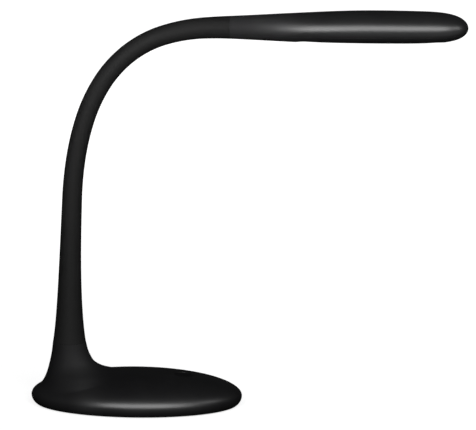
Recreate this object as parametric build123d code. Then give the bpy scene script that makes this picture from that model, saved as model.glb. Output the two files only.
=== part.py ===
from build123d import *
import math
import os

os.makedirs("parts", exist_ok=True)

# All lengths are millimetres and all angles degrees.
# The origin is the centre of the footprint on the table, +X points along the head and +Z is up.

# Base shell: an oval dome over a drawn-in lower rim
base_half_length = 100.2
base_half_depth = 63.0
rim_height = 9.8
rim_undercut = 10.0
dome_height = 22.2
cover_wall = 2.5
cut_reach = 100.0

# Underside
foot_thickness = 1.5
foot_inset = 8.0
plate_thickness = 2.5
plate_clearance = 0.3
weight_thickness = 8.3
weight_inset = 15.0
boss_clearance = 0.5
screw_play = 0.2

# Pedestal: rings down from the neck seam as (drop below the seam, rear reach, front reach)
neck_x = -64.0
seam_height = 60.3
pedestal_rings = [
    (0.0, 15.7, 15.7),
    (8.0, 16.6, 17.7),
    (14.0, 17.6, 20.2),
    (20.0, 18.9, 24.2),
    (25.0, 20.1, 32.0),
    (30.5, 21.8, 45.0),
    (36.0, 24.1, 54.0),
    (45.0, 27.9, 60.0),
]
shelf_drop = 21.6
shelf_thickness = 3.0
shelf_radius = 22.6

# Flexible neck: links from the seam to the head, each with its length and its forward bend at rest
link_lengths = [22.0] + [39.0] * 9 + [25.0]
link_bends = [0.3, 0.8, 0.7, 0.3, 6.4, 8.7, 14.0, 19.4, 21.3, 14.0, 3.25]
sleeve_radius = 8.95
sleeve_foot_flare = 6.75
sleeve_foot_fade = 50.0
sleeve_foot_power = 0.9
sleeve_head_flare = 1.95
sleeve_head_fade = 48.0
ring_spacing = 10.0
core_radius = 6.0
core_bore = 2.9
lead_radius = 2.4
lead_bend = 10.0
neck_fit = 0.1
ball_margin = 0.35
ball_gap = 0.3
ball_overrun = 3.0
bore_overrun = 20.0
seam_turn = 45.0

# Lower neck mounting
ferrule_wall = 2.0
ferrule_grip = 14.0
ferrule_flange_radius = 11.0
ferrule_flange_thickness = 2.0
tail_radius = 5.0
tail_length = 13.0
thread_fit = 0.08
washer_radius = 9.0
washer_thickness = 1.5
nut_radius = 8.0
nut_thickness = 5.0
nut_sides = 6
spigot_depth = 7.0

# Head: round at the neck, oval along its length, blunt at the tip
head_length = 225.0
head_half_height = 15.5
head_widening = 1.5
head_widening_run = 110.0
head_rise_power = 1.15
head_fall = 0.1
head_tip_power = 6.5
head_bow = 0.4
head_bow_start = 60.0
head_bow_end = 190.0
head_droop = 0.75
head_inset_power = 6
head_peak = 140.0
head_wall = 2.0
head_split = -6.0
head_stations = [0.0, 8.0, 20.0, 38.0, 60.0, 85.0, 110.0, 130.0, 148.0, 165.0, 180.0, 193.0]
head_stations += [203.0, 210.5, 216.2, 219.9, 222.3, 223.8, 224.6, 224.95]
head_ring_least = 0.5
hair = 0.001
collar_thickness = 3.0

# Light opening and electronics in the head
window_start = 60.0
window_end = 205.0
window_half_width = 12.0
window_face = -9.6
window_lip = 1.4
window_rim = 1.5
diffuser_thickness = 1.6
board_fit = 0.3
led_board_half_width = 9.0
led_board_top = 0.6
led_board_thickness = 1.6
sink_half_width = 12.0
sink_thickness = 1.5
chip_rows = 2
chips_per_row = 12
chip_length = 2.8
chip_width = 3.5
chip_height = 0.7
head_screw_places = [(36.0, 8.5), (36.0, -8.5), (214.0, 0.0)]
upper_grip = 12.0
saddle_inset = 2.0
saddle_half_width = 12.0
case_boss_radius = 4.0
case_screw_grip = 9.0
sink_screw_grip = 4.0
ferrule_screw_gap = 0.8
ferrule_screw_bite = 1.7
led_screw_shares = (0.04, 0.5, 0.96)
chip_margin = 10.0

# Small fasteners
screw_radius = 1.4
screw_head_radius = 2.5
screw_head_height = 1.5
screw_drive_radius = 0.85
boss_radius = 3.4
screw_fit = 0.08
hole_extra = 0.5

# Base screws, ballast screws and the control board
base_screw_x = 66.0
base_screw_y = 34.0
weight_screw_x = 32.0
weight_screw_y = 24.0
base_screw_grip = 7.0
weight_screw_cover = 2.5
board_screw_grip = 3.5
board_centre_x = 45.0
board_half_length = 24.0
board_half_width = 17.0
board_bottom = 17.5
board_thickness = 1.6
board_screw_inset = 3.5

# Electronic parts as (distance from the board's left edge, low y, length, width, height)
parts_below_board = [(0.0, -8.0, 7.0, 7.0, 4.6), (0.0, 5.0, 6.0, 6.0, 4.0), (21.0, 5.0, 5.0, 4.0, 1.5)]
parts_above_board = [(37.0, -3.0, 5.0, 6.0, 1.2), (7.0, 2.0, 2.0, 1.2, 0.6)]
capacitor_place = (26.0, -8.0)
capacitor_radius = 3.0
capacitor_height = 3.6

# Power button on the dome
button_radius = 9.0
button_fit = 0.2
button_travel = 0.8
button_flange = 1.3
button_flange_thickness = 1.0
button_flange_gap = 0.3
button_stem_radius = 2.2
button_stem_gap = 0.1
switch_size = 6.0
switch_height = 3.5
plunger_radius = 1.7
plunger_height = 0.8

# Power inlet in the rear rim
inlet_height = 10.5
inlet_nose_radius = 3.9
inlet_bore = 2.75
inlet_pin = 1.05
inlet_depth = 9.0
inlet_body = 9.0
inlet_length = 13.0
inlet_recess = 1.9
inlet_setback = 7.2
inlet_pin_setback = 1.0
inlet_lead_radius = 1.2
inlet_lead_bend = 20.0
inlet_lead_corners = [(-50.0, 0.0), (-22.0, -4.5)]


# ---- Shared helpers ----

def disc(radius, low, high, x=0.0, y=0.0):
    return Pos(x, y, (low + high) / 2) * Cylinder(radius, high - low)


def rod(radius, start, end, y=0.0, z=0.0):
    # A cylinder along X
    return Pos((start + end) / 2, y, z) * Rot(0, 90, 0) * Cylinder(radius, end - start)


def block(x_range, y_range, z_range):
    sizes = [high - low for low, high in (x_range, y_range, z_range)]
    centre = [(high + low) / 2 for low, high in (x_range, y_range, z_range)]
    return Pos(*centre) * Box(*sizes)


def oval_block(half_length, half_depth, low, high):
    return Pos(0, 0, low) * extrude(Ellipse(half_length, half_depth), high - low)


def slot_block(start, end, half_width, low, high):
    outline = Pos((start + end) / 2, 0) * SlotOverall(end - start, 2 * half_width)
    return Pos(0, 0, low) * extrude(outline, high - low)


def save(name, *solids):
    shape = solids[0] if len(solids) == 1 else Compound(children=[Part(s.wrapped) for s in solids])
    export_step(shape, f"parts/{name}.step")


def screw(head_low, tip, x, y):
    # A pan-head screw driven upwards: its head is below and its shank reaches the tip
    head = disc(screw_head_radius, head_low, head_low + screw_head_height, x, y)
    shank = disc(screw_radius, head_low + screw_head_height, tip, x, y)
    drive = disc(screw_drive_radius, head_low, head_low + screw_head_height / 2, x, y)
    return head + shank - drive


# ---- Base ----

def base_form(inset):
    # The oval shell's outer form, or its inner form when inset by the wall
    length = base_half_length - inset
    depth = base_half_depth - inset
    crown = rim_height + dome_height - inset
    foot = base_half_length - rim_undercut - inset
    with BuildSketch(Plane.XZ) as profile:
        with BuildLine():
            Line((0, 0), (foot, 0))
            EllipticalCenterArc((foot, rim_height), length - foot, rim_height, 270, arc_size=90)
            EllipticalCenterArc((0, rim_height), length, crown - rim_height, 0, arc_size=90)
            Line((0, crown), (0, 0))
        make_face()
    form = revolve(profile.sketch, Axis.Z)
    return scale(form, by=(1, depth / length, 1))


def pedestal_form(inset):
    rings = []
    for drop, rear, front in pedestal_rings:
        radius = (rear + front) / 2 - inset
        centre = neck_x + (front - rear) / 2
        rings.append(Pos(centre, 0, seam_height - drop) * Circle(radius))
    return loft(rings)


def rim_reach(height, inset):
    # Half-length of the lower rim at a height, and its half-depth
    length = base_half_length - inset
    depth = base_half_depth - inset
    rise = (rim_height - height) / rim_height
    reach = length - rim_undercut * (1 - math.sqrt(1 - rise * rise))
    return reach, reach * depth / length


def crown_height(x, inset):
    # Height of the dome above its long axis
    share = x / (base_half_length - inset)
    return rim_height + (dome_height - inset) * math.sqrt(1 - share * share)


plate_top = foot_thickness + plate_thickness
weight_top = plate_top + weight_thickness
board_top = board_bottom + board_thickness
shelf_top = seam_height - shelf_drop
shelf_bottom = shelf_top - shelf_thickness
flange_top = shelf_top + ferrule_flange_thickness
grip_top = flange_top + ferrule_grip
ferrule_radius = core_radius + neck_fit + ferrule_wall
spigot_radius = pedestal_rings[0][1] - cover_wall - neck_fit
tail_bottom = shelf_top - tail_length
washer_bottom = shelf_bottom - washer_thickness
nut_bottom = washer_bottom - nut_thickness

base_screw_places = [(sx * base_screw_x, sy * base_screw_y) for sx in (-1, 1) for sy in (-1, 1)]
weight_screw_places = [(sx * weight_screw_x, sy * weight_screw_y) for sx in (-1, 1) for sy in (-1, 1)]
board_screw_x = board_half_length - board_screw_inset
board_screw_y = board_half_width - board_screw_inset
board_screw_places = [
    (board_centre_x + sx * board_screw_x, sy * board_screw_y) for sx in (-1, 1) for sy in (-1, 1)
]
plate_screw_head = foot_thickness + neck_fit
board_screw_head = board_bottom - screw_head_height
base_screw_tip = plate_top + base_screw_grip
weight_screw_tip = weight_top - weight_screw_cover
board_screw_tip = board_top + board_screw_grip
boss_top = rim_height + dome_height
inlet_face = -base_half_length + inlet_recess
inlet_body_start = -base_half_length + inlet_setback


def build_cover():
    outer = base_form(0) + pedestal_form(0)
    inner = base_form(cover_wall) + pedestal_form(cover_wall)
    neck_mouth = disc(spigot_radius + neck_fit, seam_height - cover_wall * 2, cut_reach, neck_x)
    cover = outer - inner - neck_mouth
    fill = disc(shelf_radius, shelf_bottom, shelf_top, neck_x)
    for x, y in base_screw_places:
        fill += disc(boss_radius, plate_top + screw_play, boss_top, x, y)
    for x, y in board_screw_places:
        fill += disc(boss_radius, board_top, boss_top, x, y)
    cover += fill & outer
    cover -= oval_block(base_half_length + 1, base_half_depth + 1, -1, foot_thickness)
    cover -= disc(tail_radius + neck_fit, 0, seam_height, neck_x)
    for x, y in base_screw_places:
        cover -= disc(screw_radius + screw_fit, 0, base_screw_tip + hole_extra, x, y)
    for x, y in board_screw_places:
        cover -= disc(screw_radius + screw_fit, 0, board_screw_tip + hole_extra, x, y)
    cover -= disc(button_radius + button_fit, board_top, cut_reach, board_centre_x)
    cover -= rod(inlet_nose_radius + neck_fit, -cut_reach - 1, inlet_face + inlet_depth, z=inlet_height)
    return cover


def build_plate():
    reach, depth = rim_reach(foot_thickness, cover_wall)
    plate = oval_block(reach - plate_clearance, depth - plate_clearance, foot_thickness, plate_top)
    for x, y in base_screw_places + weight_screw_places:
        plate -= disc(screw_head_radius + screw_play, 0, plate_screw_head + screw_head_height, x, y)
        plate -= disc(screw_radius + screw_fit, 0, weight_top, x, y)
    return plate


def build_weight():
    reach, depth = rim_reach(foot_thickness, cover_wall)
    weight = oval_block(reach - weight_inset, depth - weight_inset, plate_top, weight_top)
    for x, y in weight_screw_places:
        weight -= disc(screw_radius + screw_fit, 0, weight_screw_tip + hole_extra, x, y)
    for x, y in base_screw_places:
        weight -= disc(boss_radius + boss_clearance, 0, board_bottom, x, y)
    return weight


def build_foot():
    reach, depth = rim_reach(foot_thickness, cover_wall)
    return oval_block(reach - foot_inset, depth - foot_inset, 0, foot_thickness)


def build_board():
    board = block(
        (board_centre_x - board_half_length, board_centre_x + board_half_length),
        (-board_half_width, board_half_width),
        (board_bottom, board_top),
    )
    for x, y in board_screw_places:
        board -= disc(screw_radius + screw_fit, 0, cut_reach, x, y)
    return board


def build_board_parts():
    left = board_centre_x - board_half_length
    parts = []
    for start, low, length, width, height in parts_below_board:
        x_range = (left + start, left + start + length)
        parts.append(block(x_range, (low, low + width), (board_bottom - height, board_bottom)))
    for start, low, length, width, height in parts_above_board:
        x_range = (left + start, left + start + length)
        parts.append(block(x_range, (low, low + width), (board_top, board_top + height)))
    x, y = capacitor_place
    parts.append(disc(capacitor_radius, board_bottom - capacitor_height, board_bottom, left + x, y))
    return parts


def build_switch():
    half = switch_size / 2
    body = block(
        (board_centre_x - half, board_centre_x + half), (-half, half), (board_top, board_top + switch_height)
    )
    return body + disc(plunger_radius, board_top, board_top + switch_height + plunger_height, board_centre_x)


def build_button():
    stem_low = board_top + switch_height + plunger_height + button_travel + button_stem_gap
    flange_high = crown_height(board_centre_x + button_radius + button_flange, cover_wall) - button_flange_gap
    flange_low = flange_high - button_flange_thickness
    cap = disc(button_radius, flange_low, cut_reach, board_centre_x) & base_form(0)
    flange = disc(button_radius + button_flange, flange_low, flange_high, board_centre_x)
    stem = disc(button_stem_radius, stem_low, flange_low, board_centre_x)
    return cap + flange + stem


def build_inlet():
    half = inlet_body / 2
    nose = rod(inlet_nose_radius, inlet_face, inlet_body_start + 1, z=inlet_height)
    x_range = (inlet_body_start, inlet_body_start + inlet_length)
    body = block(x_range, (-half, half), (inlet_height - half, inlet_height + half))
    jack = nose + body - rod(inlet_bore, inlet_face - 1, inlet_face + inlet_depth, z=inlet_height)
    pin_end = inlet_face + inlet_depth + neck_fit
    return jack + rod(inlet_pin, inlet_face + inlet_pin_setback, pin_end, z=inlet_height)


def build_inlet_lead():
    height = weight_top + inlet_lead_radius + screw_play
    start = inlet_body_start + inlet_length
    end = board_centre_x - board_half_length
    points = [(start, 0.0)] + inlet_lead_corners + [(end, inlet_lead_corners[-1][1])]
    route = FilletPolyline(*[(x, y, height) for x, y in points], radius=inlet_lead_bend)
    section = Plane(origin=(start, 0, height), x_dir=(0, 1, 0), z_dir=(1, 0, 0)) * Circle(inlet_lead_radius)
    return sweep(section, path=route)


def build_lower_ferrule():
    cup = disc(ferrule_radius, shelf_top, grip_top, neck_x)
    flange = disc(ferrule_flange_radius, shelf_top, flange_top, neck_x)
    tail = disc(tail_radius, tail_bottom, flange_top, neck_x)
    ferrule = cup + flange + tail
    ferrule -= disc(core_radius + neck_fit / 2, flange_top, seam_height, neck_x)
    return ferrule - disc(core_bore, 0, seam_height, neck_x)


def build_washer():
    ring = disc(washer_radius, washer_bottom, shelf_bottom, neck_x)
    return ring - disc(tail_radius + thread_fit, 0, seam_height, neck_x)


def build_nut():
    hexagon = Pos(neck_x, 0, nut_bottom) * extrude(RegularPolygon(nut_radius, nut_sides), nut_thickness)
    return hexagon - disc(tail_radius + thread_fit, 0, seam_height, neck_x)


# ---- Flexible neck ----

def neck_plane(distance):
    # The cross-section plane of the neck, this far along it from the seam
    x = neck_x
    z = seam_height
    heading = 90.0
    left = distance
    for length, bend in zip(link_lengths, link_bends):
        step = max(0.0, min(left, length))
        turn = bend * step / length
        chord = step
        if turn > 0:
            radius = step / math.radians(turn)
            chord = 2 * radius * math.sin(math.radians(turn / 2))
        along = math.radians(heading - turn / 2)
        x += chord * math.cos(along)
        z += chord * math.sin(along)
        heading -= turn
        left -= step
    spare = distance - sum(link_lengths)
    run = spare if spare > 0 else min(distance, 0.0)
    x += run * math.cos(math.radians(heading))
    z += run * math.sin(math.radians(heading))
    tangent = (math.cos(math.radians(heading)), 0, math.sin(math.radians(heading)))
    return Plane(origin=(x, 0, z), x_dir=(0, 1, 0), z_dir=tangent)


neck_length = sum(link_lengths)
link_count = len(link_lengths)
joint_places = [sum(link_lengths[: i + 1]) for i in range(link_count - 1)]


def sleeve_reach(distance):
    # The sleeve's radius: even in the middle, flared at the foot and a little at the head
    foot = sleeve_foot_flare * math.exp(-((max(0.0, distance) / sleeve_foot_fade) ** sleeve_foot_power))
    head = sleeve_head_flare * math.exp((distance - neck_length) / sleeve_head_fade)
    return sleeve_radius + foot + head


def tube(start, end, radius_at):
    count = max(2, round((end - start) / ring_spacing) + 1)
    places = [start + (end - start) * i / (count - 1) for i in range(count)]
    return loft([neck_plane(p) * Circle(radius_at(p)) for p in places])


def ball_radius(distance):
    return sleeve_reach(distance) + ball_margin


def ball(place, gap=0.0):
    # The sphere about a joint, turned so that its seam misses the tube's
    return neck_plane(place) * Rot(0, 0, seam_turn) * Sphere(ball_radius(place) + gap)


def link_piece(index, radius_at, low=0.0, high=neck_length):
    # One link of a neck layer: a ball at its upper end and a socket at its lower end,
    # both centred on the joint so that neighbouring links can bend
    start = low if index == 0 else joint_places[index - 1]
    last = index == link_count - 1
    end = high if last else joint_places[index] + ball_radius(joint_places[index]) + ball_overrun
    piece = tube(start, end, radius_at)
    if not last:
        beyond = neck_plane(joint_places[index]) * Pos(0, 0, cut_reach / 2) * Cylinder(cut_reach, cut_reach)
        piece -= beyond - ball(joint_places[index])
    if index > 0:
        piece -= ball(joint_places[index - 1], ball_gap)
    return piece


def link_bore(index, radius, low=0.0, high=neck_length):
    # The hole through one link of a neck layer, run well out past both of its ends
    start = low if index == 0 else joint_places[index - 1]
    end = high if index == link_count - 1 else joint_places[index]
    return tube(start - bore_overrun, end + bore_overrun, lambda place: radius)


def build_sleeve(index):
    sleeve = link_piece(index, sleeve_reach)
    if index == 0:
        sleeve += disc(spigot_radius, seam_height - spigot_depth, seam_height, neck_x)
        sleeve -= disc(ferrule_radius + neck_fit, 0, grip_top + hole_extra, neck_x)
    return sleeve - link_bore(index, core_radius + neck_fit)


def build_core(index):
    low = flange_top - seam_height
    high = neck_length + upper_grip
    core = link_piece(index, lambda place: core_radius, low, high)
    return core - link_bore(index, core_bore, low, high)


def build_lead(index):
    low = flange_top - seam_height
    high = neck_length + window_start
    lead = link_piece(index, lambda place: lead_radius, low, high)
    if index == 0:
        drop = board_bottom + board_thickness / 2
        end = board_centre_x - board_half_length
        route = FilletPolyline((neck_x, 0, flange_top), (neck_x, 0, drop), (end, 0, drop), radius=lead_bend)
        start = Plane(origin=(neck_x, 0, flange_top), x_dir=(1, 0, 0), z_dir=(0, 0, -1))
        lead += sweep(start * Circle(lead_radius), path=route)
    return lead


# ---- Head, in its own frame: +X along the head from the neck seam ----

def head_size(x):
    # Half-height and half-width of the head's oval section
    if x <= head_peak:
        start = sleeve_reach(neck_length)
        rise = math.sin(math.pi / 2 * x / head_peak) ** head_rise_power
        half_height = start + (head_half_height - start) * rise
    else:
        share = (x - head_peak) / (head_length - head_peak)
        half_height = head_half_height * (1 - head_fall * share ** 2) * math.sqrt(1 - share ** head_tip_power)
    widening = (head_widening - 1) * math.sin(math.pi / 2 * min(1.0, x / head_widening_run))
    return half_height, half_height * (1 + widening)


def head_rise(x):
    # Height of the oval section's centre above the head's straight axis: a slight bow, then a droop to the tip
    if x <= head_bow_start:
        return 0.0
    if x <= head_bow_end:
        return head_bow * math.sin(math.pi * (x - head_bow_start) / (head_bow_end - head_bow_start)) ** 2
    return -head_droop * ((x - head_bow_end) / (head_length - head_bow_end)) ** 2


def head_form(inset):
    rings = []
    for x in head_stations:
        half_height, half_width = head_size(x)
        if half_height - inset < head_ring_least:
            break
        place = x - inset * (x / head_length) ** head_inset_power
        # A hair wider than high even where it is round, because an ellipse takes its longer axis first
        oval = Ellipse(half_width + hair - inset, half_height - inset)
        rings.append(Plane(origin=(place, 0, head_rise(x)), x_dir=(0, 1, 0), z_dir=(1, 0, 0)) * oval)
    return loft(rings)


def collar_block():
    return block((-1, collar_thickness), (-cut_reach, cut_reach), (-cut_reach, cut_reach))


def head_cavity():
    # The hollow inside the walls, closed by the collar at the neck end
    return head_form(head_wall) - collar_block()


window_top = window_face + diffuser_thickness
sink_top = led_board_top + sink_thickness
led_board_bottom = led_board_top - led_board_thickness
sink_screw_tip = sink_top + sink_screw_grip
upper_ferrule_radius = core_radius + neck_fit + ferrule_wall
ferrule_start = collar_thickness + neck_fit
ferrule_end = ferrule_start + upper_grip
ferrule_screw_x = (ferrule_start + ferrule_end) / 2
ferrule_screw_seat = -upper_ferrule_radius - ferrule_screw_gap
ferrule_screw_tip = -upper_ferrule_radius + ferrule_screw_bite
head_screw_tip = head_split + case_screw_grip
led_screw_places = [window_start + (window_end - window_start) * share for share in led_screw_shares]


def upper_half():
    return block((-1, head_length + 1), (-cut_reach, cut_reach), (head_split, cut_reach))


def lower_half():
    return block((-1, head_length + 1), (-cut_reach, cut_reach), (-cut_reach, head_split))


def screw_seat(x):
    # Where a case screw's head lies inside the underside
    half_height, _ = head_size(x)
    return head_rise(x) - half_height + head_wall


def build_head_top():
    fill = collar_block()
    for x, y in head_screw_places:
        fill += disc(boss_radius, head_split, cut_reach, x, y)
    for x in led_screw_places:
        fill += disc(boss_radius, sink_top, cut_reach, x)
    saddle = block(
        (ferrule_start + saddle_inset, ferrule_end - saddle_inset),
        (-saddle_half_width, saddle_half_width),
        (head_split, cut_reach),
    )
    fill += saddle - rod(upper_ferrule_radius + neck_fit, 0, cut_reach)
    shell = head_form(0) - head_cavity() + (fill & head_form(0))
    shell = shell & upper_half()
    shell -= rod(core_radius + neck_fit, -1, collar_thickness + 1)
    for x, y in head_screw_places:
        shell -= disc(screw_radius + screw_fit, -cut_reach, head_screw_tip + hole_extra, x, y)
    for x in led_screw_places:
        shell -= disc(screw_radius + screw_fit, -cut_reach, sink_screw_tip + hole_extra, x)
    return shell


def build_head_bottom():
    fill = collar_block()
    for x, y in head_screw_places:
        fill += disc(case_boss_radius, -cut_reach, head_split, x, y)
    rim_width = window_half_width + window_lip + board_fit + window_rim
    rim_extra = rim_width - window_half_width
    rim_start = window_start - rim_extra
    rim_end = window_end + rim_extra
    fill += slot_block(rim_start, rim_end, rim_width, -cut_reach, head_split)
    ferrule_boss = disc(boss_radius, -cut_reach, head_split, ferrule_screw_x)
    fill += ferrule_boss - rod(upper_ferrule_radius + neck_fit, 0, cut_reach)
    shell = head_form(0) - head_cavity() + (fill & head_form(0))
    shell = shell & lower_half()
    seat_extra = window_lip + board_fit
    seat_start = window_start - seat_extra
    seat_end = window_end + seat_extra
    shell -= slot_block(seat_start, seat_end, window_half_width + seat_extra, window_face, cut_reach)
    shell -= slot_block(window_start, window_end, window_half_width, -cut_reach, cut_reach)
    shell -= rod(core_radius + neck_fit, -1, collar_thickness + 1)
    for x, y in head_screw_places:
        shell -= disc(screw_head_radius + screw_play, -cut_reach, screw_seat(x) + screw_head_height, x, y)
        shell -= disc(screw_radius + screw_fit, -cut_reach, cut_reach, x, y)
    shell -= disc(screw_head_radius + screw_play, -cut_reach, ferrule_screw_seat, ferrule_screw_x)
    shell -= disc(screw_radius + screw_fit, -cut_reach, cut_reach, ferrule_screw_x)
    return shell


def build_diffuser():
    return slot_block(
        window_start - window_lip,
        window_end + window_lip,
        window_half_width + window_lip,
        window_face,
        window_top,
    )


def build_led_board():
    y_range = (-led_board_half_width, led_board_half_width)
    board = block((window_start, window_end), y_range, (led_board_bottom, led_board_top))
    for x in led_screw_places:
        board -= disc(screw_radius + screw_fit, -cut_reach, cut_reach, x)
    return board


def build_sink():
    sink = block((window_start, window_end), (-sink_half_width, sink_half_width), (led_board_top, sink_top))
    for x in led_screw_places:
        sink -= disc(screw_radius + screw_fit, -cut_reach, cut_reach, x)
    return sink


def build_chips():
    chips = []
    span = window_end - window_start - 2 * chip_margin
    for row in range(chip_rows):
        y = (row - (chip_rows - 1) / 2) * led_board_half_width
        for i in range(chips_per_row):
            x = window_start + chip_margin + span * (i + 0.5) / chips_per_row
            x_range = (x - chip_length / 2, x + chip_length / 2)
            y_range = (y - chip_width / 2, y + chip_width / 2)
            chips.append(block(x_range, y_range, (led_board_bottom - chip_height, led_board_bottom)))
    return chips


def build_upper_ferrule():
    ring = rod(upper_ferrule_radius, ferrule_start, ferrule_end)
    ring -= rod(core_radius + neck_fit / 2, 0, cut_reach)
    return ring - disc(screw_radius + screw_fit, -cut_reach, 0, ferrule_screw_x)


neck_end = neck_plane(neck_length)
head_up = (-neck_end.z_dir.Z, 0, neck_end.z_dir.X)
head_place = Plane(origin=neck_end.origin, x_dir=neck_end.z_dir, z_dir=head_up)


# ---- Write every piece ----

save("base_cover", build_cover())
save("base_plate", build_plate())
save("base_weight", build_weight())
save("foot_mat", build_foot())
save("base_screws", *[screw(plate_screw_head, base_screw_tip, x, y) for x, y in base_screw_places])
save("weight_screws", *[screw(plate_screw_head, weight_screw_tip, x, y) for x, y in weight_screw_places])
save("control_board", build_board())
save("board_parts", *build_board_parts())
save("tact_switch", build_switch())
save("board_screws", *[screw(board_screw_head, board_screw_tip, x, y) for x, y in board_screw_places])
save("power_button", build_button())
save("power_inlet", build_inlet())
save("inlet_lead", build_inlet_lead())
save("neck_ferrule_lower", build_lower_ferrule())
save("neck_washer", build_washer())
save("neck_nut", build_nut())

for index in range(link_count):
    save(f"neck_sleeve_{index}", build_sleeve(index))
    save(f"neck_core_{index}", build_core(index))
    save(f"neck_lead_{index}", build_lead(index))

head_screws = [screw(screw_seat(x), head_screw_tip, x, y) for x, y in head_screw_places]
led_screws = [screw(led_board_bottom - screw_head_height, sink_screw_tip, x, 0) for x in led_screw_places]
ferrule_screw = screw(ferrule_screw_seat - screw_head_height, ferrule_screw_tip, ferrule_screw_x, 0)
head_pieces = {
    "head_top": [build_head_top()],
    "head_bottom": [build_head_bottom()],
    "diffuser": [build_diffuser()],
    "led_board": [build_led_board()],
    "led_chips": build_chips(),
    "heat_spreader": [build_sink()],
    "led_screws": led_screws,
    "head_screws": head_screws,
    "neck_ferrule_upper": [build_upper_ferrule()],
    "ferrule_screw": [ferrule_screw],
}
for name, solids in head_pieces.items():
    save(name, *[head_place * solid for solid in solids])
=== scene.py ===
import bmesh
import bpy
import math
from mathutils import Matrix, Vector


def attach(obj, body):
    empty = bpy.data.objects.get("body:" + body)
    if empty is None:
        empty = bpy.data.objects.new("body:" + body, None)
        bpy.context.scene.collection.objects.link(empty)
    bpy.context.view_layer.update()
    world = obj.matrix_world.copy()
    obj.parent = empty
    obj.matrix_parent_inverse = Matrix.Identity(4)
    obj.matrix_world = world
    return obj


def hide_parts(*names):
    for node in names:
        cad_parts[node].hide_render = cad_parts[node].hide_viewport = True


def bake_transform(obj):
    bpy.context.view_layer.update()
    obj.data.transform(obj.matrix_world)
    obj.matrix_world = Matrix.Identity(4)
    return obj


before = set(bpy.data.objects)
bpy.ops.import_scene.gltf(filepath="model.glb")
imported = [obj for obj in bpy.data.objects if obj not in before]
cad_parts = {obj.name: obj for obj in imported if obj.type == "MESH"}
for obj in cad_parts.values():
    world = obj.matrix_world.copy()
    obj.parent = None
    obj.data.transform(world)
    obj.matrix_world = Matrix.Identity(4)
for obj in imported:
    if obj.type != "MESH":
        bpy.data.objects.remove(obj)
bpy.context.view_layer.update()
print("frame loaded:", len(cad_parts), "solid parts")

scene = bpy.context.scene
scene.view_settings.view_transform = "Standard"
mm = 0.001  # sizes below are millimetres, Blender works in metres


# small helpers

def circle(count):
    # angles once round
    return [2 * math.pi * i / count for i in range(count)]


def toLinear(hexColour):
    channels = [int(hexColour[i:i + 2], 16) / 255 for i in (1, 3, 5)]
    return tuple(c / 12.92 if c <= 0.04045 else ((c + 0.055) / 1.055) ** 2.4 for c in channels) + (1.0,)


def addNode(tree, kind, settings=None, inputs=None):
    # adds a node, sets its options, then fills or links its sockets by name or number
    node = tree.nodes.new(kind)
    node.location = (180 * len(tree.nodes), 0)
    for option, value in (settings or {}).items():
        setattr(node, option, value)
    for socket, value in (inputs or {}).items():
        if isinstance(value, bpy.types.NodeSocket):
            tree.links.new(value, node.inputs[socket])
        else:
            node.inputs[socket].default_value = value
    return node


def makePiece(name, mesh, material=None):
    piece = bpy.data.objects.new(name, mesh)
    scene.collection.objects.link(piece)
    if material:
        mesh.materials.clear()
        mesh.materials.append(material)
    return piece


def meshFrom(name, points, faces):
    # points in millimetres, doubles merged
    mesh = bpy.data.meshes.new(name)
    mesh.from_pydata([tuple(c * mm for c in p) for p in points], [], faces)
    sheet = bmesh.new()
    sheet.from_mesh(mesh)
    bmesh.ops.remove_doubles(sheet, verts=sheet.verts, dist=0.002 * mm)
    bmesh.ops.dissolve_degenerate(sheet, dist=0.001 * mm, edges=sheet.edges)
    sheet.to_mesh(mesh)
    sheet.free()
    return mesh


def bake(piece):
    # the evaluated shape as a plain mesh, modifiers gone
    result = bpy.data.meshes.new_from_object(piece.evaluated_get(bpy.context.evaluated_depsgraph_get()))
    old = piece.data
    piece.modifiers.clear()
    piece.data = result
    bpy.data.meshes.remove(old)
    result.name = piece.name
    return piece


def faceOutwards(mesh):
    sheet = bmesh.new()
    sheet.from_mesh(mesh)
    bmesh.ops.recalc_face_normals(sheet, faces=sheet.faces)
    if sheet.calc_volume(signed=True) < 0:  # a deep socket can fool the step above
        bmesh.ops.reverse_faces(sheet, faces=sheet.faces)
    sheet.to_mesh(mesh)
    sheet.free()


def smooth(mesh, sharpAngle=35):
    mesh.shade_smooth()
    mesh.set_sharp_from_angle(angle=math.radians(sharpAngle))


def setInputs(modifier, values):
    # a modifier's inputs go by the socket's identifier
    sockets = {s.name: s.identifier for s in modifier.node_group.interface.items_tree if s.item_type == "SOCKET"}
    for label, value in values.items():
        modifier[sockets[label]] = value


def newTree(name, sizes, counts=()):
    # a geometry tree with a geometry in and out, named sizes, named counts and a material
    tree = bpy.data.node_groups.new(name, "GeometryNodeTree")
    tree.interface.new_socket("Geometry", in_out="INPUT", socket_type="NodeSocketGeometry")
    tree.interface.new_socket("Geometry", in_out="OUTPUT", socket_type="NodeSocketGeometry")
    for label in sizes:
        tree.interface.new_socket(label, in_out="INPUT", socket_type="NodeSocketFloat")
    for label in counts:
        tree.interface.new_socket(label, in_out="INPUT", socket_type="NodeSocketInt")
    tree.interface.new_socket("Material", in_out="INPUT", socket_type="NodeSocketMaterial")
    return tree, addNode(tree, "NodeGroupInput")


def endTree(tree, geometry, given):
    real = addNode(tree, "GeometryNodeRealizeInstances", inputs={"Geometry": geometry})
    painted = addNode(
        tree, "GeometryNodeSetMaterial", inputs={"Geometry": real.outputs[0], "Material": given.outputs["Material"]}
    )
    addNode(tree, "NodeGroupOutput", inputs={"Geometry": painted.outputs[0]})


def keepOneSlot(mesh):
    # drops the empty slot that comes with shapes made inside a tree
    finish = next(m for m in mesh.materials if m)
    mesh.materials.clear()
    mesh.materials.append(finish)
    mesh.polygons.foreach_set("material_index", [0] * len(mesh.polygons))


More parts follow.
